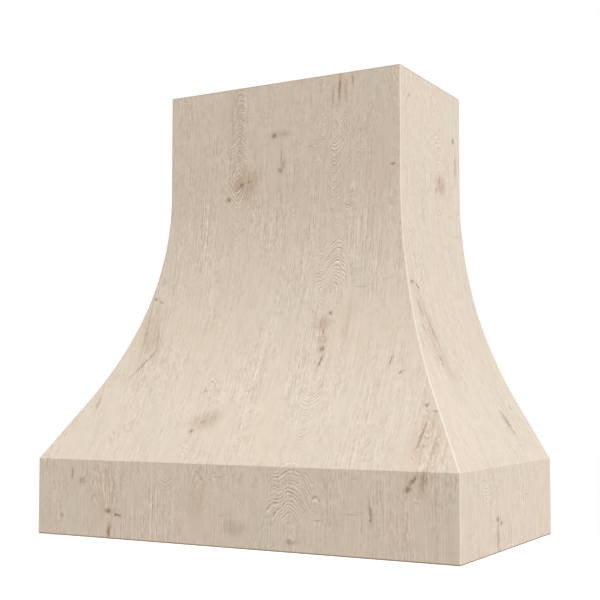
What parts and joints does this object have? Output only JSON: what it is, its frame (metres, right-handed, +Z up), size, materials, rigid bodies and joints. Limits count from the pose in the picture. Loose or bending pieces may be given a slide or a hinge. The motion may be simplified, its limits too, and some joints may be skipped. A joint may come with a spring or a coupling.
{
  "type": "wooden range hood cover",
  "caption": "Wall-hung wooden cover for a range hood insert: an upright chimney sweeps out in a hollow curve to a square apron, over ribs, a belt frame, an insert shelf and a hanging cleat.",
  "frame": {"origin": "centre of the wall cleat's four-screw pattern, on the face of the wall", "axes": "+Z up, +Y into the wall, +X to the right of a person who faces the hood"},
  "size_m": [0.914, 0.495, 0.914],
  "materials": {
    "bleached_oak": "bleached and limed oak veneer, matte clear coat",
    "plywood": "unfinished birch plywood, sanded",
    "poplar": "unfinished planed softwood",
    "zinc_steel": "bright zinc plating"
  },
  "bodies": {
    "wall_side": {"wall_cleat": "poplar"},
    "cover": {"front_skin": "bleached_oak", "left_skin": "bleached_oak", "right_skin": "bleached_oak", "front_apron": "bleached_oak", "left_apron": "bleached_oak", "right_apron": "bleached_oak", "left_mitre_spline": "poplar", "right_mitre_spline": "poplar", "left_front_rib": "plywood", "centre_front_rib": "plywood", "right_front_rib": "plywood", "left_hip_rib": "plywood", "right_hip_rib": "plywood", "left_side_rib": "plywood", "right_side_rib": "plywood", "left_wall_rib": "plywood", "right_wall_rib": "plywood", "left_front_blocking": "plywood", "right_front_blocking": "plywood", "top_board": "plywood", "upper_back_rail": "poplar", "lower_back_rail": "poplar", "hood_cleat": "poplar", "front_belt_rail": "plywood", "left_belt_rail": "plywood", "right_belt_rail": "plywood", "insert_shelf": "plywood", "front_ledger": "poplar", "left_ledger": "poplar", "right_ledger": "poplar", "left_corner_block": "poplar", "right_corner_block": "poplar", "left_back_batten": "poplar", "right_back_batten": "poplar", "top_board_screws": "zinc_steel", "belt_screws": "zinc_steel", "shelf_screws": "zinc_steel", "ledger_screws": "zinc_steel", "rail_screws": "zinc_steel", "cleat_screws": "zinc_steel", "batten_screws": "zinc_steel"}
  },
  "joints": [
    {"name": "lift_off", "type": "slide", "parent": "wall_side", "child": "cover", "axis": [0, -0.7071, 0.7071], "range_m": [0, 0.06]}
  ]
}
